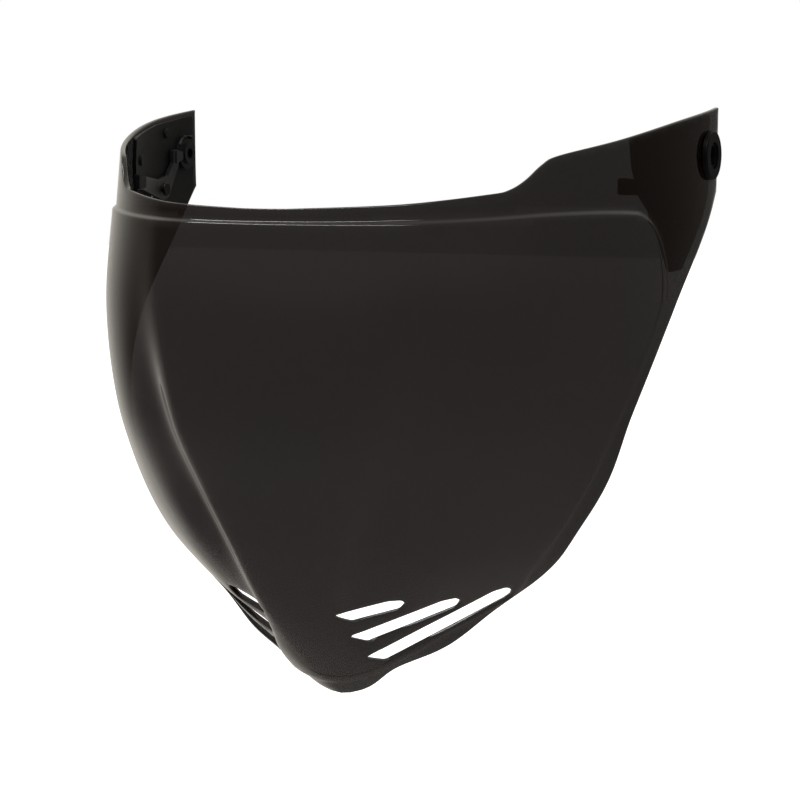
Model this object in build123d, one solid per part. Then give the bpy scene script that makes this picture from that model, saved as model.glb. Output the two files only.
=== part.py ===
from build123d import *
from bisect import bisect_right
from math import cos, exp, radians, sin, sqrt
import os

# Face shield of a motorcycle helmet with its two side mechanisms, in millimetres.
# The origin is the middle of the pivot axis, which runs along X from ear to ear.
# The wearer looks towards -Y and +Z is up; the left ear of the wearer is at +X.

# ---- driving dimensions of the shield ---------------------------------------------------
LENS_T = 2.2                      # wall of the moulded lens
EDGE_R = 13.5                     # distance from the pivot axis to the rear edge of an ear
# Stations of the lens from the ear tips down to the chin.  At each height the plan
# section is a smooth conic about the middle plane: its front, nose radius and shape
# factor (negative is an ellipse, positive a hyperbola), and the depth and place of the
# shallow hollow that each flank has beside the keel.  REAR_Y is how far back it reaches.
STATION_Z = (24, -20, -60, -100, -130, -155, -180, -200, -222)
FRONT_Y = (-141, -149.5, -157, -156.2, -145.6, -136.8, -123.8, -105.4, -79.7)
NOSE_R = (109, 107.5, 106, 90, 71, 50.5, 22.5, 20.5, 9)
SHAPE = (-0.76, -0.74, -0.74, -0.43, -0.01, 0.26, 0.49, 0.48, 0.45)
HOLLOW = (0, 1, 3, 8.5, 9.4, 8, 5.7, 4.3, 1.7)
HOLLOW_AT = (4.4, 4.4, 4.4, 4.4, 4, 3.4, 3.6, 4.1, 3.7)   # in sqrt(mm) behind the front line
REAR_Y = (20, 20, -8, -38, -46, -48, -52, -60, -66)

# Side view of the shield's edge, as (Y, Z).
EAR_TOP = (EDGE_R, 19.5)
EAR_BOTTOM = (EDGE_R, -15)
REAR_RIM = ((-8, -38), (-43.2, -72), (-63, -105.6), (-68.5, -141.6), (-68.1, -171.7),
            (-75.7, -192.8), (-84.4, -212), (-85, -217.2))
TOP_EDGE = ((-27.5, 14.1), (-67, 6.4), (-93, 0.8), (-99.3, -2.5), (-105.6, -8.3), (-111, -11.9),
            (-117, -13.5), (-136, -16.9), (-150, -18.8))

# Ventilation slots of the chin, front view: inner end, outer end, as (X, Z).
SLOTS = (((16.5, -178.2), (38.0, -171.9)),
         ((18.2, -188.3), (54.1, -172.3)),
         ((20.3, -198.2), (69.7, -169.2)))
SLOT_W = 4.9

# ---- driving dimensions of the side mechanism -------------------------------------------
# Depths are measured inwards from the outer face of the ear at the pivot axis.
PLATE = (2.3, 4.0)                # side plate, from its outer to its inner face
RING_R = 7.0                      # bearing ring of the plate
RING = (3.0, 4.9)                 # depths between which the hub turns in it
DRUM_R = 5.4                      # hub drum that turns in the bearing ring
FIT = 0.06                        # running clearance on the radius
WASHER = (4.95, 5.25)
FLANGE = (5.3, 6.1)
FLANGE_R = 7.0
SCREW_HEAD_R = 3.9                # room for the head of the helmet's M4 pivot screw
SCREW_SEAT = 4.2
BUSH_R = (2.1, 3.0)               # steel bush that the pivot screw clamps
PAD = (6.1, 7.5)                  # pad of the hub that lies on the helmet shell
PAD_R = 4.6
NOTCH_TURNS = (60, 75, 90, 105, 120)   # degrees from +Y towards +Z
NOTCH_R = 0.7
LEAF = (5.6, 6.6)                 # depths of the detent leaf's two edges
LEAF_R = 7.7
LEAF_T = 0.5
FOOT_TURN = 62
CAP_R = 10.0
CAP_T = 2.3
CAP_SPIGOT_R = 4.8
LEVER = (4.5, 6.3)
LIP = (6.3, 7.3)                  # hook of the lever, over the inner face of the flange
TAB = (5.7, 8.2)                  # depths of the finger tab under the ear there
LEVER_PIN = (-24.0, -15.5)        # (Y, Z)
PIN_R = 1.5
SPRING_WIRE_R = 0.45
SPRING_FOOT = (-36.0, -29.5)
RIVETS = ((-17.5, 9.0), (-31.0, -24.0), (-50.0, -2.5), (-29.5, -40.0))
RIVET_R = 1.2
PLATE_OUTLINE = ((8, 16.8), (-27.5, 12.5), (-57, 7), (-56.5, -4.5), (-53, -15.5), (-47, -22),
                 (-32, -45.8), (-21, -45.4), (-8.5, -34.5), (1.5, -24.5), (8, -15.5))


def station(values, z):
    """Smooth value at height z: Catmull-Rom cubic through the stations."""
    zs = [-h for h in STATION_Z]
    i = min(max(bisect_right(zs, -z) - 1, 0), len(zs) - 2)

    def slope(j):
        a, b = max(j - 1, 0), min(j + 1, len(zs) - 1)
        return (values[b] - values[a]) / (zs[b] - zs[a])

    span = zs[i + 1] - zs[i]
    t = (-z - zs[i]) / span
    return (values[i] * (2 * t**3 - 3 * t**2 + 1) + values[i + 1] * (3 * t**2 - 2 * t**3)
            + span * slope(i) * (t**3 - 2 * t**2 + t) + span * slope(i + 1) * (t**3 - t**2))


def lens_point(s, z):
    """Point of the outer face; s squared is the distance behind the front line."""
    conic = 2 * station(NOSE_R, z) + station(SHAPE, z) * s * s
    bump = exp(-((abs(s) - station(HOLLOW_AT, z)) ** 2))
    hollow = station(HOLLOW, z) * bump * min(1, abs(s)) * (1 if s > 0 else -1)
    return Vector(s * sqrt(conic) - hollow, station(FRONT_Y, z) + s * s, z)


def skin_point(s, z, depth):
    """Point at a depth under the outer face, along the inward normal."""
    step = 0.01
    across = lens_point(s + step, z) - lens_point(s - step, z)
    up = lens_point(s, z + step) - lens_point(s, z - step)
    return lens_point(s, z) - across.cross(up).normalized() * depth


def ear_x(y, z):
    """X of the left ear's outer face at a side-view place."""
    return lens_point(sqrt(y - station(FRONT_Y, z)), z).X


EAR_X = ear_x(0, 0)


def local_depth(y, z):
    """How far the outer face lies inwards of the pivot's face at a side-view place."""
    return EAR_X - ear_x(y, z)


def along_x(depth_from, depth_to, radius, y=0.0, z=0.0):
    """Round bar along X at the left ear, between two depths."""
    plane = Plane(origin=(EAR_X - depth_to, y, z), x_dir=(0, 1, 0), z_dir=(1, 0, 0))
    return extrude(plane * Circle(radius), depth_to - depth_from)


def along_normal(depth_from, depth_to, radius, y, z):
    """Round bar through the left ear along its normal, between two depths."""
    s = sqrt(y - station(FRONT_Y, z))
    start, end = skin_point(s, z, depth_to), skin_point(s, z, depth_from)
    return extrude(Plane(origin=start, z_dir=end - start) * Circle(radius), depth_to - depth_from)


def side_prism(outline, x_from, x_to, corner=0.0):
    """Prism along X of a closed side-view outline of (Y, Z) points, with rounded corners."""
    plane = Plane(origin=(x_from, 0, 0), x_dir=(0, 1, 0), z_dir=(1, 0, 0))
    face = make_face(Polyline(*outline, close=True))
    if corner:
        face = fillet(face.vertices(), corner)
    return extrude(plane * face, x_to - x_from)


def skin(depth_from, depth_to, s_range, z_range, counts):
    """Curved sheet between two depths under the outer face."""
    rows = []
    for i in range(counts[0]):
        z = z_range[0] + (z_range[1] - z_range[0]) * i / (counts[0] - 1)
        ends = s_range(z)
        rows.append([skin_point(ends[0] + (ends[1] - ends[0]) * j / (counts[1] - 1), z, depth_from)
                     for j in range(counts[1])])
    face = Face.make_surface_from_array_of_points(rows, tol=0.02, min_deg=3, max_deg=5)
    sheet = Solid.thicken(face, depth_to - depth_from)
    probe = skin_point(sum(s_range(-30)) / 2, -30, (depth_from + depth_to) / 2)
    if sheet.is_inside(probe):
        return sheet
    return Solid.thicken(face, depth_from - depth_to)


def ear_skin(outline, depth_from, depth_to, corner):
    """Sheet of the left ear that follows the lens, cut to a side-view outline."""
    def reach(z):
        return (7.0, sqrt(22 - station(FRONT_Y, z)))
    sheet = skin(depth_from, depth_to, reach, (22, -56), (18, 16))
    return sheet & side_prism(outline, 80, 140, corner)


def shield_outline():
    """Closed side-view face whose rear and top borders are the shield's edge."""
    plane = Plane(origin=(-150, 0, 0), x_dir=(0, 1, 0), z_dir=(1, 0, 0))
    rim = Spline(EAR_BOTTOM, *REAR_RIM, tangents=((-0.62, -0.78), (0, -1)))
    ear_edge = Line(EAR_TOP, EAR_BOTTOM)
    top = Spline(*reversed(TOP_EDGE), EAR_TOP, tangents=((1, 0.1), (1, 0.13)))
    front = Polyline(REAR_RIM[-1], (-105, -240), (-190, -240), (-190, TOP_EDGE[-1][1]), TOP_EDGE[-1])
    return extrude(plane * make_face([rim, ear_edge, top, front]), 300)


def slot_cutter(inner, outer):
    """Slot with a slanted inner end and a pointed outer end, cut through along Y."""
    run = Vector(outer[0] - inner[0], outer[1] - inner[1])
    along = run.normalized()
    side = Vector(-along.Y, along.X) * (SLOT_W / 2)
    start, end = Vector(*inner), Vector(*outer)
    lean = along * (SLOT_W / 4)
    corners = (start + side - lean, start - side + lean, end - side - along * SLOT_W * 0.7,
               end - side * 0.2, end + side * 0.6, end + side - along * SLOT_W * 0.9)
    outline = make_face(Polyline(*[(c.X, c.Y) for c in corners], close=True))
    rounded = fillet(outline.vertices(), SLOT_W * 0.16)
    plane = Plane(origin=(0, -60, 0), x_dir=(1, 0, 0), z_dir=(0, -1, 0))
    return extrude(plane * rounded, 80)


def shield_lens():
    """The moulded lens: a curved wall with slots in the chin and a hole in each ear."""
    def reach(z):
        half = sqrt(station(REAR_Y, z) - station(FRONT_Y, z))
        return (-half, half)
    wall = skin(0, LENS_T, reach, (24, -222), (42, 57)) & shield_outline()
    for inner, outer in SLOTS:
        cutter = slot_cutter(inner, outer)
        wall -= cutter
        wall -= mirror(cutter, about=Plane.YZ)
    holes = [along_x(-3, PLATE[0] + 1, CAP_SPIGOT_R + 0.15)]
    holes += [along_normal(1.2, PLATE[0] + 1, RIVET_R, y, z) for y, z in RIVETS]
    for hole in holes:
        wall = wall - hole - mirror(hole, about=Plane.YZ)
    return wall


def side_plate():
    """Black inner plate that follows the ear and carries the bearing ring."""
    body = ear_skin(PLATE_OUTLINE, *PLATE, corner=1.5)
    body += along_x(RING[0], RING[1], RING_R)
    body -= along_x(RING[0], RING[1] + 1, DRUM_R + FIT)
    body -= along_x(0, RING[1], CAP_SPIGOT_R)
    body -= along_x(0, 20, PIN_R, *LEVER_PIN)
    body -= along_x(0, 20, SPRING_WIRE_R, *SPRING_FOOT)
    for y, z in RIVETS:
        body -= along_normal(0, PLATE[1] + 1, RIVET_R, y, z)
    return body


def plate_rivets():
    """Moulded rivets that hold the plate to the inner face of the lens."""
    rivets = []
    for y, z in RIVETS:
        shank = along_normal(1.3, PLATE[1] + 0.1, RIVET_R, y, z)
        head = along_normal(PLATE[1] + 0.02, PLATE[1] + 1.1, 2.2, y, z)
        rivets.append(shank + fillet(head.edges().sort_by(Axis.X)[0], 0.6))
    return Compound(children=rivets)


def pivot_cap():
    """Round outer cap: a ring whose spigot passes through lens and plate."""
    disc = along_x(-CAP_T, -0.25, CAP_R)
    disc = fillet(disc.edges().group_by(Axis.X)[-1], 0.8)
    spigot = along_x(-0.5, RING[0] - 0.1, CAP_SPIGOT_R - 0.01)
    mouth = along_x(-CAP_T - 1, -CAP_T + 0.9, SCREW_HEAD_R + 1.6)
    return disc + spigot - mouth - along_x(-CAP_T, RING[0], SCREW_HEAD_R)


def about_pivot(radius, turn):
    """Side-view place at a radius and a turn in degrees about the pivot axis."""
    return radius * cos(radians(turn)), radius * sin(radians(turn))


def pivot_hub():
    """Hub that the helmet holds: a drum in the plate's ring, a notched flange and a pad."""
    hub = along_x(RING[0] + 0.15, PAD[0], DRUM_R) + along_x(*FLANGE, FLANGE_R) + along_x(*PAD, PAD_R)
    for turn in NOTCH_TURNS:
        hub -= along_x(WASHER[1], FLANGE[1] + 1, NOTCH_R, *about_pivot(FLANGE_R + 0.2, turn))
    return hub - along_x(0, SCREW_SEAT, SCREW_HEAD_R) - along_x(0, PAD[1] + 1, BUSH_R[1])


def hub_bush():
    """Steel bush in the hub, which takes the pivot screw of the helmet."""
    return along_x(SCREW_SEAT, PAD[1], BUSH_R[1]) - along_x(0, PAD[1] + 1, BUSH_R[0])


def hub_washer():
    """Friction washer on the drum, between the bearing ring and the flange."""
    return along_x(*WASHER, RING_R - 0.2) - along_x(0, 20, DRUM_R + 0.01)


def arc_strip(radius, thickness, start, end, depth_from, depth_to):
    """Curved strip about the pivot axis, seen from the side, with its width along X."""
    plane = Plane(origin=(EAR_X - depth_to, 0, 0), x_dir=(0, 1, 0), z_dir=(1, 0, 0))
    outer = CenterArc((0, 0), radius + thickness, start, end - start)
    inner = CenterArc((0, 0), radius, start, end - start)
    ends = [Line(outer @ 0, inner @ 0), Line(outer @ 1, inner @ 1)]
    return extrude(plane * make_face([outer, inner] + ends), depth_to - depth_from)


def detent_spring():
    """Leaf spring on the plate whose bump rides on the notches of the flange."""
    leaf = arc_strip(LEAF_R, LEAF_T, FOOT_TURN - 5, 150, *LEAF)
    y, z = about_pivot(LEAF_R + 0.1, 105)
    bump = along_x(*LEAF, 0.5, y, z)
    y, z = about_pivot(LEAF_R + 0.7, FOOT_TURN)
    return leaf + bump + along_x(PLATE[1] + local_depth(y, z) + 0.2, LEAF[1], 0.9, y, z)


def release_lever():
    """Finger lever along the plate; its hook holds the hub flange in the ring."""
    outline = ((-60.5, -14.8), (-60.5, -8.2), (-48, -9.3), (-30, -11.2), (-19, -9.5), (-13.5, -4),
               (-13.5, 1.8), (-8.6, 1.8), (-8.6, -5.5), (-14, -13), (-18, -19), (-24, -20.5),
               (-31, -18.8), (-50, -15))
    lever = ear_skin(outline, *LEVER, corner=0.9)
    lip = side_prism(((-11.5, -4.5), (-5.9, -2.6), (-5.9, 1.0), (-11.5, 1.4)),
                     EAR_X - LIP[1], EAR_X - LIP[0], corner=0.5)
    tab_x = ear_x(-58, -11.5)
    tab = side_prism(((-60.5, -14.8), (-55, -14.2), (-55, -8.8), (-60.5, -8.2)),
                     tab_x - TAB[1], tab_x - TAB[0], corner=1.0)
    return lever + lip + tab - along_x(0, 30, PIN_R + FIT, *LEVER_PIN)


def lever_pin():
    """Pin of the release lever, with a flat head."""
    face = local_depth(*LEVER_PIN)
    shank = along_x(face + PLATE[0] + 0.2, face + LEVER[1] + 1.6, PIN_R, *LEVER_PIN)
    head = along_x(face + LEVER[1] + 1.1, face + LEVER[1] + 2.1, 2.9, *LEVER_PIN)
    return shank + fillet(head.edges().group_by(Axis.X)[0], 0.4)


def lever_spring():
    """Bent wire that pushes the lever back; its foot stands in the plate."""
    foot_y, foot_z = SPRING_FOOT
    face_x = ear_x(foot_y, foot_z)
    x = face_x - LEVER[0] - 2.2
    path = FilletPolyline((face_x - PLATE[1] + 0.9, foot_y, foot_z), (x, foot_y, foot_z),
                          (x - 1, foot_y - 7, foot_z + 4), (x - 1, foot_y - 3, foot_z + 11.2), radius=1.2)
    section = Plane(origin=path @ 0, z_dir=path % 0) * Circle(SPRING_WIRE_R)
    return sweep(section, path=path)


SIDED = {
    "side_plate": side_plate, "plate_rivets": plate_rivets, "pivot_cap": pivot_cap,
    "pivot_hub": pivot_hub, "hub_bush": hub_bush, "hub_washer": hub_washer,
    "detent_spring": detent_spring, "release_lever": release_lever,
    "lever_pin": lever_pin, "lever_spring": lever_spring,
}

os.makedirs("parts", exist_ok=True)
export_step(shield_lens(), "parts/shield_lens.step")
for name, make in SIDED.items():
    left = make()
    export_step(left, f"parts/{name}_left.step")
    export_step(mirror(left, about=Plane.YZ), f"parts/{name}_right.step")
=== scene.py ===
"""Looks of a helmet's face shield: the moulded smoke lens and its two side mechanisms."""

import math

import bpy
import numpy as np
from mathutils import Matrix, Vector, kdtree
from mathutils.geometry import delaunay_2d_cdt


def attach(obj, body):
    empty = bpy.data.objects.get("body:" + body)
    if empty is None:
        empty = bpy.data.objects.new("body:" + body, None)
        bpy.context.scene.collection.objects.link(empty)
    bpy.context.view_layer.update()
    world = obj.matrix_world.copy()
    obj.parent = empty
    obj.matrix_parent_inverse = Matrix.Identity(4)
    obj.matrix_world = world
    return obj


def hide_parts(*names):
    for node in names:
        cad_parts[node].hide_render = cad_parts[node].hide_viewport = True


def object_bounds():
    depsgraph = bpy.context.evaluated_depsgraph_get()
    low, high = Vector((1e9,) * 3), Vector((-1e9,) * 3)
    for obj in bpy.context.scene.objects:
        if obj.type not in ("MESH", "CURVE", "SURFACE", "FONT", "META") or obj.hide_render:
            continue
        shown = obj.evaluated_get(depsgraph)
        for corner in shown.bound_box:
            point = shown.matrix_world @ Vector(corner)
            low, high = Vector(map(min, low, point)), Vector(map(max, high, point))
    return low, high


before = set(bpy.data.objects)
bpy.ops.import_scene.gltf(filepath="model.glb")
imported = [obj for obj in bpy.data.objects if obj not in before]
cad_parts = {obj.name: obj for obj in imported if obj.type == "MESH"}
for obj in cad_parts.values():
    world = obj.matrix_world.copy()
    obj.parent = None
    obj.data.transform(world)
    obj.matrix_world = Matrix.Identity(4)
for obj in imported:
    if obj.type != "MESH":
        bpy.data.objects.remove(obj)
cad_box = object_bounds()

MM = 0.001

# ---- the lens surface, in millimetres, by the same formula as the CAD model -------------
# Heights of the stations, and at each of them the place of the front line, the radius of the
# section there, how the section opens (above 0) or closes behind it, and the depth and place
# of the hollow beside the keel.
STATION_Z = np.array((24, -20, -60, -100, -130, -155, -180, -200, -222.0))
FRONT_Y = np.array((-141, -149.5, -157, -156.2, -145.6, -136.8, -123.8, -105.4, -79.7))
NOSE_R = np.array((109, 107.5, 106, 90, 71, 50.5, 22.5, 20.5, 9.0))
SHAPE = np.array((-0.76, -0.74, -0.74, -0.43, -0.01, 0.26, 0.49, 0.48, 0.45))
HOLLOW = np.array((0, 1, 3, 8.5, 9.4, 8, 5.7, 4.3, 1.7))
HOLLOW_AT = np.array((4.4, 4.4, 4.4, 4.4, 4, 3.4, 3.6, 4.1, 3.7))
LENS_T = 2.2
EDGE_ROUND = 0.7
EDGE_TURNS = (30, 60, 90)         # angles of the vertices round each edge, in degrees
S_MAX = 13.0                      # a value of s behind every ear

# Side view of the edge, as (Y, Z).
EAR_TOP = (13.5, 19.5)
EAR_MIDDLE = (13.5, 2)
EAR_BOTTOM = (13.5, -15)
REAR_RIM = ((-8, -38), (-43.2, -72), (-63, -105.6), (-68.5, -141.6), (-68.1, -171.7),
            (-75.7, -192.8), (-84.4, -212), (-85, -217.2))
TOP_EDGE = ((-27.5, 14.1), (-67, 6.4), (-93, 0.8), (-99.3, -2.5), (-105.6, -8.3), (-111, -11.9),
            (-117, -13.5), (-136, -16.9), (-149, -18.8))

# Raised front panel: brow line as (X, Z), side line as (Y, Z), chin line as (X, Z).
PANEL_BROW = ((0, -24.3), (30, -24.2), (55, -23.8), (75, -22.9), (94, -21.4), (107, -21))
PANEL_SIDE = ((-62, -21.6), (-57, -22.8), (-52, -25.8), (-47.8, -30.5), (-44, -36.8), (-41.3, -44.4),
              (-40.6, -52.4), (-43.2, -60.1), (-57.7, -81.9), (-65.4, -94.5), (-70.8, -108.2),
              (-73.6, -120.6), (-75.4, -132.6), (-76.5, -145.6))
PANEL_CHIN = ((79.9, -159.6), (70.6, -171.7), (56.4, -181.6), (41.1, -191.2), (23.8, -201.9),
              (13.4, -207), (5, -209), (0, -209.2))
PANEL_RISE = 1.5
PANEL_BLEND = 2.2                 # width of the step round the panel
PANEL_RINGS = (-0.5, -0.34, -0.17, 0, 0.17, 0.34, 0.5)   # mesh lines across it, in its widths

# Ventilation slots, front view, as (X, Z) of the inner and outer ends.
SLOTS = (((16.5, -178.2), (38.0, -171.9)),
         ((18.2, -188.3), (54.1, -172.3)),
         ((20.3, -198.2), (69.7, -169.2)))
SLOT_W = 4.9
SLOT_LEAN = 0.25                  # slant of the inner end, in slot widths
SLOT_TIP = (-0.2, 0.6)            # the outer end's corners, in half widths from the middle line
SLOT_TIP_LENGTH = (0.7, 0.9)      # lower and upper length of the outer end, in slot widths
SLOT_CORNER = 0.9                 # longest cut that rounds a corner of a slot
SLOT_SIDE_CUTS = 2.5              # a side is at least as long as this many cuts

# Mesh of the lens.
GRID = 2.3                        # spacing of the vertices in a row
GRID_ROW = GRID * 0.87            # height between rows
GRID_S_MAX = 13.2                 # the rows run on to this value of s
PATH_STEP = 1.5                   # spacing of the vertices along the edge
PANEL_STEP = PATH_STEP * 0.8      # along the step round the panel
SLOT_STEP = 0.8                   # along a slot
EDGE_CLEAR = GRID * 0.55          # from an edge or slot to the nearest row vertex
PANEL_CLEAR = PANEL_BLEND * 0.5 + GRID * 0.5
RING_CLEAR = 0.55                 # from an edge or slot to the nearest panel line vertex
MERGE = 1e-5                      # places nearer than this are one vertex

# Samples of the curves that are measured or searched.
ARC_SAMPLES = 25
SPAN_SAMPLES = 24
ROW_SAMPLES = 500
SLOT_SAMPLE = 0.05
HALVINGS = 40


def station(values, z):
    """Smooth value at heights z: Catmull-Rom cubic through the stations."""
    zs = -STATION_Z
    at = -np.asarray(z, float)
    i = np.clip(np.searchsorted(zs, at, side="right") - 1, 0, len(zs) - 2)
    before = np.maximum(np.arange(len(zs)) - 1, 0)
    after = np.minimum(np.arange(len(zs)) + 1, len(zs) - 1)
    slope = (values[after] - values[before]) / (zs[after] - zs[before])
    span = zs[i + 1] - zs[i]
    t = (at - zs[i]) / span
    return (values[i] * (2 * t**3 - 3 * t**2 + 1) + values[i + 1] * (3 * t**2 - 2 * t**3)
            + span * slope[i] * (t**3 - 2 * t**2 + t) + span * slope[i + 1] * (t**3 - t**2))


def lens_points(s, z):
    """Points of the outer face; s squared is the distance behind the front line."""
    s, z = np.broadcast_arrays(np.asarray(s, float), np.asarray(z, float))
    conic = 2 * station(NOSE_R, z) + station(SHAPE, z) * s * s
    bump = np.exp(-((np.abs(s) - station(HOLLOW_AT, z)) ** 2))
    hollow = station(HOLLOW, z) * bump * np.clip(s, -1, 1)
    return np.stack([s * np.sqrt(conic) - hollow, station(FRONT_Y, z) + s * s, z], -1)


def lens_frame(s, z):
    """Points, unit tangents across and up, and outward normals."""
    step = 0.01
    across = (lens_points(s + step, z) - lens_points(s - step, z)) / (2 * step)
    up = (lens_points(s, z + step) - lens_points(s, z - step)) / (2 * step)
    normal = np.cross(across, up)
    return lens_points(s, z), across, up, normal / np.linalg.norm(normal, axis=-1, keepdims=True)


def unroll(s, z):
    """Flat place of a lens point: arc length from the middle plane, and height."""
    t = np.linspace(0, 1, ARC_SAMPLES)
    path = lens_points(np.asarray(s)[..., None] * t, np.asarray(z)[..., None] + 0 * t)
    length = np.linalg.norm(np.diff(path, axis=-2), axis=-1).sum(-1)
    return np.stack([np.sign(s) * length, np.asarray(z, float)], -1)


def from_side(points):
    """Surface places (s, z) of side-view points (Y, Z) on the left half."""
    p = np.array(points, float)
    return np.stack([np.sqrt(np.maximum(p[:, 0] - station(FRONT_Y, p[:, 1]), 0)), p[:, 1]], -1)


def from_front(points):
    """Surface places (s, z) of front-view points (X, Z)."""
    p = np.array(points, float)
    low, high = np.zeros(len(p)), np.full(len(p), S_MAX)
    for _ in range(HALVINGS):
        middle = (low + high) / 2
        over = lens_points(middle, p[:, 1])[:, 0] > p[:, 0]
        high = np.where(over, middle, high)
        low = np.where(over, low, middle)
    return np.stack([(low + high) / 2, p[:, 1]], -1)


def smooth_path(points, step=PATH_STEP):
    """Even places along a Catmull-Rom curve through points."""
    p = np.array(points, float)
    p = np.vstack([2 * p[:1] - p[1:2], p, 2 * p[-1:] - p[-2:-1]])
    dense = []
    for i in range(1, len(p) - 2):
        t = np.linspace(0, 1, SPAN_SAMPLES, endpoint=False)[:, None]
        a, b, c, d = p[i - 1:i + 3]
        dense.append(0.5 * (2 * b + (c - a) * t + (2 * a - 5 * b + 4 * c - d) * t**2
                            + (3 * b - a - 3 * c + d) * t**3))
    dense = np.vstack(dense + [p[-2:-1]])
    return even_path(dense, step)


def running_length(points):
    """Length along a polyline at each of its points."""
    return np.concatenate([[0], np.cumsum(np.linalg.norm(np.diff(points, axis=0), axis=1))])


def even_path(dense, step=PATH_STEP):
    """Resamples a polyline at even steps of lens distance; both ends are kept."""
    run = running_length(lens_points(dense[:, 0], dense[:, 1]))
    marks = np.linspace(0, run[-1], max(int(round(run[-1] / step)), 1) + 1)
    return np.stack([np.interp(marks, run, dense[:, k]) for k in (0, 1)], -1)


def mirrored_loop(half):
    """Closed loop from a left half that starts and ends on the middle plane."""
    other = half[-2:0:-1] * np.array((-1, 1))
    return np.vstack([half, other])


def outline_loop():
    """Edge of the lens as a closed loop of (s, z)."""
    top = smooth_path(np.vstack([from_side(TOP_EDGE[::-1]), from_side([EAR_TOP])]))
    top[0, 0] = 0
    rear = even_path(from_side([EAR_TOP, EAR_MIDDLE, EAR_BOTTOM]))
    rim = smooth_path(from_side([EAR_BOTTOM, *REAR_RIM]))
    rim[-1, 0] = 0
    return mirrored_loop(np.vstack([top[:-1], rear[:-1], rim]))


def panel_loop():
    """Middle line of the step round the raised front panel."""
    places = np.vstack([from_front(PANEL_BROW), from_side(PANEL_SIDE), from_front(PANEL_CHIN)])
    places[0, 0] = places[-1, 0] = 0
    return mirrored_loop(smooth_path(places, step=PANEL_STEP))


def slot_loop(inner, outer):
    """One slot: slanted inner end, pointed outer end, rounded corners."""
    start, end = np.array(inner), np.array(outer)
    along = (end - start) / np.linalg.norm(end - start)
    side = np.array((-along[1], along[0])) * SLOT_W / 2
    lean = along * SLOT_W * SLOT_LEAN
    lower, upper = SLOT_TIP
    below, above = (along * SLOT_W * length for length in SLOT_TIP_LENGTH)
    corners = [start + side - lean, start - side + lean, end - side - below,
               end + side * lower, end + side * upper, end + side - above]
    rounded = []
    for k, corner in enumerate(corners):
        before, after = corners[k - 1] - corner, corners[(k + 1) % len(corners)] - corner
        cut = min(SLOT_CORNER, np.linalg.norm(before) / SLOT_SIDE_CUTS,
                  np.linalg.norm(after) / SLOT_SIDE_CUTS)
        a = corner + before / np.linalg.norm(before) * cut
        b = corner + after / np.linalg.norm(after) * cut
        for t in (0, 0.33, 0.67, 1):
            rounded.append(a * (1 - t) ** 2 + 2 * corner * t * (1 - t) + b * t * t)
    rounded = np.array(rounded + [rounded[0]])
    marks = np.arange(0, len(rounded) - 1 + 1e-9, SLOT_SAMPLE)
    dense = [np.interp(marks, np.arange(len(rounded)), rounded[:, k]) for k in (0, 1)]
    return even_path(from_front(np.stack(dense, -1)), step=SLOT_STEP)[:-1]


def inside(points, polygon):
    """Which flat points lie in a flat polygon."""
    x, y = points[:, 0], points[:, 1]
    result = np.zeros(len(points), bool)
    for (x0, y0), (x1, y1) in zip(polygon, np.roll(polygon, -1, axis=0)):
        if y0 == y1:
            continue
        crossing = ((y0 > y) != (y1 > y)) & (x < (x1 - x0) * (y - y0) / (y1 - y0) + x0)
        result ^= crossing
    return result


def tree(points):
    """Search tree of 3-D points."""
    found = kdtree.KDTree(len(points))
    for i, p in enumerate(points):
        found.insert(p, i)
    found.balance()
    return found


def distances(points, search):
    """Distance of each point to its nearest one in a search tree."""
    return np.array([search.find(p)[2] for p in points])


def shifted(loop, offset):
    """A loop moved sideways over the lens by an offset; positive makes it larger."""
    p, across, up, normal = lens_frame(loop[:, 0], loop[:, 1])
    x, y = unroll(loop[:, 0], loop[:, 1]).T
    if (x * np.roll(y, -1) - np.roll(x, -1) * y).sum() < 0:
        offset = -offset
    run = np.roll(p, -1, axis=0) - np.roll(p, 1, axis=0)
    side = np.cross(run, normal)
    side *= offset / np.linalg.norm(side, axis=1, keepdims=True)
    moved = []
    for a, b, d in zip(across, up, side):
        moved.append(np.linalg.lstsq(np.stack([a, b], 1), d, rcond=None)[0])
    return loop + np.array(moved)


def grid_places(keep_off):
    """Even places over the lens, apart from a band round each of the given loops."""
    rows = []
    s = np.linspace(0, GRID_S_MAX, ROW_SAMPLES)
    for k, z in enumerate(np.arange(STATION_Z[-1], STATION_Z[0], GRID_ROW)):
        run = running_length(lens_points(s, z))
        marks = np.arange(GRID * 0.5 * (k % 2), run[-1], GRID)
        half = np.interp(marks, run, s)
        row = np.concatenate([-half[half > 0][::-1], half])
        rows.append(np.stack([row, np.full(len(row), z)], -1))
    places = np.vstack(rows)
    points = lens_points(places[:, 0], places[:, 1])
    for loops, clear in keep_off:
        border = np.vstack([lens_points(loop[:, 0], loop[:, 1]) for loop in loops])
        free = distances(points, tree(border)) > clear
        places, points = places[free], points[free]
    return places


def panel_rise(places, points, panel):
    """Height of the raised panel at each place: a smooth step across its border."""
    border = lens_points(panel[:, 0], panel[:, 1])
    following = np.roll(border, -1, axis=0)
    dense = np.vstack([border * (1 - t) + following * t for t in (0, 0.25, 0.5, 0.75)])
    away = distances(points, tree(dense))
    within = inside(unroll(places[:, 0], places[:, 1]), unroll(panel[:, 0], panel[:, 1]))
    t = np.clip(0.5 + np.where(within, away, -away) / PANEL_BLEND, 0, 1)
    return PANEL_RISE * t * t * (3 - 2 * t)


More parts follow.
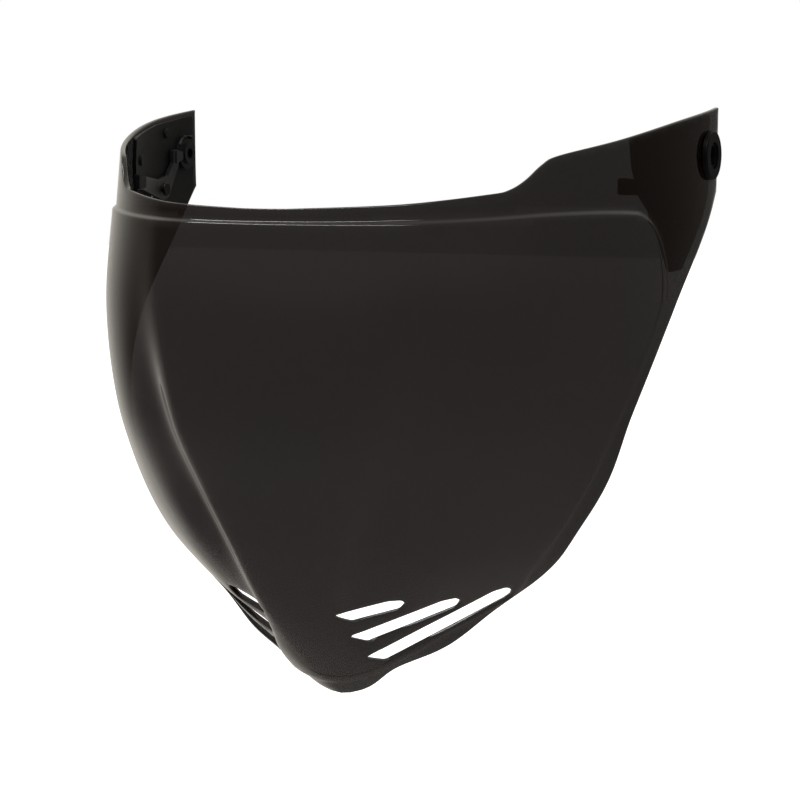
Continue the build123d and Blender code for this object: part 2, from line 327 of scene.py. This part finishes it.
def lens_faces(loops, places):
    """Triangles between the places, inside the first loop and outside the others."""
    flat = unroll(places[:, 0], places[:, 1])
    starts = np.cumsum([0] + [len(loop) for loop in loops]).tolist()
    edges = []
    for start, end in zip(starts, starts[1:]):
        edges += [(i, i + 1) for i in range(start, end - 1)] + [(end - 1, start)]
    made = delaunay_2d_cdt([Vector(p) for p in flat], edges, [], 0, MERGE)
    source = [ids[0] for ids in made[3]]
    faces = np.array([[source[i] for i in face] for face in made[2]])
    middles = flat[faces].mean(1)
    keep = inside(middles, flat[:starts[1]])
    for start, end in zip(starts[1:], starts[2:]):
        keep &= ~inside(middles, flat[start:end])
    return faces[keep]


def border_chains(faces):
    """Closed chains of vertices along the open edges of a triangle mesh."""
    sides = dict.fromkeys((f[k], f[(k + 1) % 3]) for f in faces for k in range(3))
    following = {i: j for i, j in sides if (j, i) not in sides}
    chains = []
    while following:
        first = next(iter(following))
        chain = [first]
        while following[chain[-1]] != first:
            chain.append(following[chain[-1]])
        for i in chain:
            following.pop(i)
        chains.append(np.array(chain))
    return chains


def edge_profile():
    """Round edge of the wall, from the outer to the inner face, as (outwards, inwards)."""
    turns = np.radians(EDGE_TURNS)
    outer = [(EDGE_ROUND * math.sin(turn), EDGE_ROUND * (1 - math.cos(turn))) for turn in turns]
    return outer + [(out, LENS_T - sink) for out, sink in outer[::-1]]


def lens_mesh():
    """The lens as one closed wall with rounded edges, slots and the raised panel."""
    panel = panel_loop()
    slots = [shifted(slot_loop(*slot), EDGE_ROUND) for slot in SLOTS]
    slots += [(slot * np.array((-1, 1)))[::-1] for slot in slots]
    loops = [shifted(outline_loop(), -EDGE_ROUND)] + slots
    rings = np.vstack([shifted(panel, PANEL_BLEND * k) for k in PANEL_RINGS])
    border = np.vstack([lens_points(loop[:, 0], loop[:, 1]) for loop in loops])
    free = distances(lens_points(rings[:, 0], rings[:, 1]), tree(border)) > RING_CLEAR
    grid = grid_places([([panel], PANEL_CLEAR), (loops, EDGE_CLEAR)])
    places = np.vstack(loops + [rings[free], grid])
    faces = lens_faces(loops, places)

    p, across, up, normal = lens_frame(places[:, 0], places[:, 1])
    p = p + normal * panel_rise(places, p, panel)[:, None]
    a, b, c = p[faces[:, 0]], p[faces[:, 1]], p[faces[:, 2]]
    turned = (np.cross(b - a, c - a) * normal[faces[:, 0]]).sum(1) < 0
    faces[turned] = faces[turned][:, ::-1]

    count = len(p)
    total = 2 * count
    vertices = [p, p - normal * LENS_T]
    polygons = [list(f) for f in faces] + [[i + count for i in f[::-1]] for f in faces]
    for ids in border_chains(faces):
        run = np.roll(p[ids], -1, axis=0) - np.roll(p[ids], 1, axis=0)
        side = np.cross(run, normal[ids])
        side /= np.linalg.norm(side, axis=1, keepdims=True)
        rows = [ids]
        for out, sink in edge_profile():
            vertices.append(p[ids] + side * out - normal[ids] * sink)
            rows.append(np.arange(total, total + len(ids)))
            total += len(ids)
        rows.append(ids + count)
        for upper, lower in zip(rows, rows[1:]):
            for k in range(len(ids)):
                n = (k + 1) % len(ids)
                polygons.append([upper[n], upper[k], lower[k], lower[n]])
    return np.vstack(vertices), polygons


def mesh_object(name, vertices, polygons, material):
    """Object with a smooth-shaded mesh from vertices in millimetres."""
    mesh = bpy.data.meshes.new(name)
    used = sorted({int(i) for polygon in polygons for i in polygon})
    new_id = {i: k for k, i in enumerate(used)}
    mesh.from_pydata([tuple(float(c) * MM for c in vertices[i]) for i in used], [],
                     [[new_id[int(i)] for i in polygon] for polygon in polygons])
    mesh.validate()
    mesh.shade_smooth()
    obj = bpy.data.objects.new(name, mesh)
    bpy.context.scene.collection.objects.link(obj)
    mesh.materials.append(material)
    return obj


# ---- materials ---------------------------------------------------------------------------
MOTTLE_DETAIL = 5
MOTTLE_EDGES = (0.3, 0.7)         # noise levels of the dark and the light colour
GRAIN_DETAIL = 3
GRAIN_DEPTH = 0.0003              # metres


def new_material(name):
    """Empty node material and its shader."""
    material = bpy.data.materials.new(name)
    material.use_nodes = True
    return material, material.node_tree.nodes, material.node_tree.links


def mottled(name, dark, light, scale, roughness, bump=0.0, bump_scale=600.0, **fixed):
    """Plastic or metal whose colour, roughness and relief vary with noise; fixed names sockets."""
    material, nodes, links = new_material(name)
    shader = nodes["Principled BSDF"]
    place = nodes.new("ShaderNodeTexCoord")
    noise = nodes.new("ShaderNodeTexNoise")
    noise.inputs["Scale"].default_value = scale
    noise.inputs["Detail"].default_value = MOTTLE_DETAIL
    links.new(place.outputs["Object"], noise.inputs["Vector"])
    ramp = nodes.new("ShaderNodeValToRGB")
    for element, edge, colour in zip(ramp.color_ramp.elements, MOTTLE_EDGES, (dark, light)):
        element.position = edge
        element.color = (*colour, 1)
    links.new(noise.outputs["Fac"], ramp.inputs["Fac"])
    links.new(ramp.outputs["Color"], shader.inputs["Base Color"])
    spread = nodes.new("ShaderNodeMapRange")
    spread.inputs["To Min"].default_value = roughness[0]
    spread.inputs["To Max"].default_value = roughness[1]
    links.new(noise.outputs["Fac"], spread.inputs["Value"])
    links.new(spread.outputs["Result"], shader.inputs["Roughness"])
    if bump:
        grain = nodes.new("ShaderNodeTexNoise")
        grain.inputs["Scale"].default_value = bump_scale
        grain.inputs["Detail"].default_value = GRAIN_DETAIL
        links.new(place.outputs["Object"], grain.inputs["Vector"])
        relief = nodes.new("ShaderNodeBump")
        relief.inputs["Strength"].default_value = bump
        relief.inputs["Distance"].default_value = GRAIN_DEPTH
        links.new(grain.outputs["Fac"], relief.inputs["Height"])
        links.new(relief.outputs["Normal"], shader.inputs["Normal"])
    for socket, value in fixed.items():
        shader.inputs[socket.replace("_", " ")].default_value = value
    return material


def lens_material():
    """Dark smoke polycarbonate, hard coated: red-brown with olive clouds, very glossy."""
    return mottled("lens_smoke", (0.0040, 0.0009, 0.0011), (0.0024, 0.0016, 0.0004), 7.0,
                   (0.030, 0.060), bump=0.015, bump_scale=45.0, IOR=1.45, Alpha=0.892)


def plate_material():
    """Black moulded plastic with a fine matt grain."""
    return mottled("plate_plastic", (0.0046, 0.0047, 0.0050), (0.0080, 0.0081, 0.0085), 60.0,
                   (0.42, 0.58), bump=0.35, bump_scale=1500.0, Specular_IOR_Level=0.18)


def cap_material():
    """Deep black satin plastic."""
    return mottled("cap_plastic", (0.0018, 0.0018, 0.002), (0.0034, 0.0034, 0.0036), 80.0,
                   (0.38, 0.5), bump=0.25, bump_scale=1800.0, Specular_IOR_Level=0.1)


def hub_material():
    """Black acetal, a little glossier than the plates."""
    return mottled("hub_plastic", (0.006, 0.006, 0.0065), (0.010, 0.010, 0.011), 70.0,
                   (0.3, 0.42), bump=0.2, bump_scale=1600.0, Specular_IOR_Level=0.3)


def lever_material():
    """Black plastic, polished a little by use."""
    return mottled("lever_plastic", (0.010, 0.010, 0.011), (0.018, 0.018, 0.019), 90.0,
                   (0.3, 0.45), bump=0.3, bump_scale=1400.0, Specular_IOR_Level=0.4)


def dark_steel_material():
    """Blackened steel."""
    return mottled("screw_steel", (0.03, 0.03, 0.032), (0.06, 0.06, 0.062), 300.0,
                   (0.3, 0.45), bump=0.1, bump_scale=2500.0, Metallic=1.0)


def steel_material():
    """Plain spring steel."""
    return mottled("spring_steel", (0.10, 0.10, 0.105), (0.16, 0.16, 0.165), 400.0,
                   (0.3, 0.45), bump=0.1, bump_scale=3000.0, Metallic=1.0)


def floor_material():
    """Pale floor that glows, so that it stays even and white."""
    return mottled("pale_floor", (0.86, 0.86, 0.86), (0.9, 0.9, 0.9), 2.0, (0.6, 0.8),
                   Specular_IOR_Level=0.0, Emission_Color=(1, 1, 1, 1), Emission_Strength=0.9)


# ---- camera, light, floor ----------------------------------------------------------------
VIEW_AZIMUTH = 25.0
VIEW_ELEVATION = 6.53
CAMERA_PLACE = (0.4128, -0.9142, 0.0088)
CAMERA_LENS = 104.7
CAMERA_SENSOR = 36

OVERHEAD_PLACE = (-0.25, -0.55, 1.2)
OVERHEAD_TARGET = (0, -0.1, -0.05)
OVERHEAD_SIZE = (2.6, 0.3)
OVERHEAD_POWER = 20

FLOOR_GAP = 0.16                  # under the lowest point of the object at rest
FLOOR_SIZE = 6.0                  # from the middle to each side
FLOOR_PARTS = 24


def add_camera():
    """Camera at the angle and distance of the product view."""
    data = bpy.data.cameras.new("camera")
    data.lens = CAMERA_LENS
    data.sensor_width = CAMERA_SENSOR
    camera = bpy.data.objects.new("camera", data)
    camera.location = CAMERA_PLACE
    camera.rotation_euler = (math.radians(90 - VIEW_ELEVATION), 0, math.radians(VIEW_AZIMUTH))
    bpy.context.scene.collection.objects.link(camera)
    bpy.context.scene.camera = camera


def add_overhead_light():
    """Long strip light that draws the bright line along the step under the brow."""
    data = bpy.data.lights.new("overhead", "AREA")
    data.shape = "RECTANGLE"
    data.size, data.size_y = OVERHEAD_SIZE
    data.energy = OVERHEAD_POWER
    lamp = bpy.data.objects.new("overhead", data)
    lamp.location = OVERHEAD_PLACE
    aim = Vector(OVERHEAD_TARGET) - Vector(OVERHEAD_PLACE)
    lamp.rotation_euler = aim.to_track_quat("-Z", "Y").to_euler()
    bpy.context.scene.collection.objects.link(lamp)


# What the studio throws on the object by height of the direction, from straight below (0)
# over the horizon (0.5) to straight above (1), and its gain towards the back of the object,
# which comes in over a range of the direction's Y.
STUDIO_RAMP = ((0.0, 0.15), (0.22, 0.08), (0.38, 0.04), (0.5, 0.04), (0.62, 0.12), (1.0, 0.6))
REAR_GAIN = 1.8
REAR_RANGE = (-0.3, 0.9)
BACKDROP = (-0.62, 0.78, -0.05)   # direction of the brightest part of the backdrop
BACKDROP_EDGE = (0.60, 0.98)      # cosines between which it fades in
BACKDROP_LIGHT = 0.60
TINT = (1.0, 0.95, 0.86, 1)


def math_node(nodes, links, operation, a, b):
    """One maths node on two sockets or numbers."""
    node = nodes.new("ShaderNodeMath")
    node.operation = operation
    for socket, value in zip(node.inputs, (a, b)):
        if isinstance(value, (int, float)):
            socket.default_value = value
        else:
            links.new(value, socket)
    return node.outputs[0]


def range_node(nodes, links, value, start, end, low, high):
    """Smooth step of a value from one range to another."""
    node = nodes.new("ShaderNodeMapRange")
    node.interpolation_type = "SMOOTHSTEP"
    links.new(value, node.inputs["Value"])
    for name, number in (("From Min", start), ("From Max", end), ("To Min", low), ("To Max", high)):
        node.inputs[name].default_value = number
    return node.outputs["Result"]


def add_world():
    """White to the camera; to the object a soft studio that is brightest above."""
    world = bpy.data.worlds.new("studio")
    bpy.context.scene.world = world
    world.use_nodes = True
    nodes, links = world.node_tree.nodes, world.node_tree.links
    seen = nodes["Background"]
    seen.inputs["Color"].default_value = (1, 1, 1, 1)
    direction = nodes.new("ShaderNodeTexCoord").outputs["Generated"]
    parts = nodes.new("ShaderNodeSeparateXYZ")
    links.new(direction, parts.inputs[0])
    height = range_node(nodes, links, parts.outputs["Z"], -1, 1, 0, 1)
    height.node.interpolation_type = "LINEAR"
    ramp = nodes.new("ShaderNodeValToRGB")
    ramp.color_ramp.interpolation = "B_SPLINE"
    while len(ramp.color_ramp.elements) < len(STUDIO_RAMP):
        ramp.color_ramp.elements.new(0.5)
    for element, (place, level) in zip(ramp.color_ramp.elements, STUDIO_RAMP):
        element.position = place
        element.color = (level, level, level, 1)
    links.new(height, ramp.inputs["Fac"])
    gain = range_node(nodes, links, parts.outputs["Y"], *REAR_RANGE, 1.0, REAR_GAIN)
    facing = nodes.new("ShaderNodeVectorMath")
    facing.operation = "DOT_PRODUCT"
    facing.inputs[1].default_value = BACKDROP
    links.new(direction, facing.inputs[0])
    backdrop = range_node(nodes, links, facing.outputs["Value"], *BACKDROP_EDGE, 0, BACKDROP_LIGHT)
    level = math_node(nodes, links, "MULTIPLY", ramp.outputs["Color"], gain)
    level = math_node(nodes, links, "ADD", level, backdrop)
    lit = nodes.new("ShaderNodeBackground")
    lit.inputs["Color"].default_value = TINT
    links.new(level, lit.inputs["Strength"])
    path = nodes.new("ShaderNodeLightPath")
    mix = nodes.new("ShaderNodeMixShader")
    links.new(path.outputs["Is Camera Ray"], mix.inputs[0])
    links.new(lit.outputs[0], mix.inputs[1])
    links.new(seen.outputs[0], mix.inputs[2])
    links.new(mix.outputs[0], nodes["World Output"].inputs["Surface"])


def add_floor():
    """Plain floor under the object, left out of reflections so that no horizon shows."""
    low = cad_box[0][2] - FLOOR_GAP
    mesh = bpy.data.meshes.new("floor")
    row = FLOOR_PARTS + 1
    ticks = np.linspace(-FLOOR_SIZE, FLOOR_SIZE, row)
    vertices = [(x, y, low) for y in ticks for x in ticks]
    quads = [(j * row + i, j * row + i + 1, (j + 1) * row + i + 1, (j + 1) * row + i)
             for j in range(FLOOR_PARTS) for i in range(FLOOR_PARTS)]
    mesh.from_pydata(vertices, [], quads)
    mesh.materials.append(floor_material())
    floor = bpy.data.objects.new("floor", mesh)
    floor.visible_glossy = False
    bpy.context.scene.collection.objects.link(floor)


def give(node, material):
    """Puts one material on a CAD node."""
    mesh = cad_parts[node].data
    mesh.materials.clear()
    mesh.materials.append(material)


bpy.context.scene.view_settings.view_transform = "Standard"
add_camera()
add_world()
add_overhead_light()
add_floor()

lens = mesh_object("lens", *lens_mesh(), lens_material())
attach(lens, "shield")
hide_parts("shield_lens")

FINISHES = {
    "side_plate": plate_material(),
    "plate_rivets": plate_material(),
    "pivot_cap": cap_material(),
    "hub_bush": dark_steel_material(),
    "pivot_hub": hub_material(),
    "hub_washer": steel_material(),
    "detent_spring": steel_material(),
    "release_lever": lever_material(),
    "lever_pin": dark_steel_material(),
    "lever_spring": steel_material(),
}
for name, finish in FINISHES.items():
    for side in ("left", "right"):
        give(f"{name}_{side}", finish)
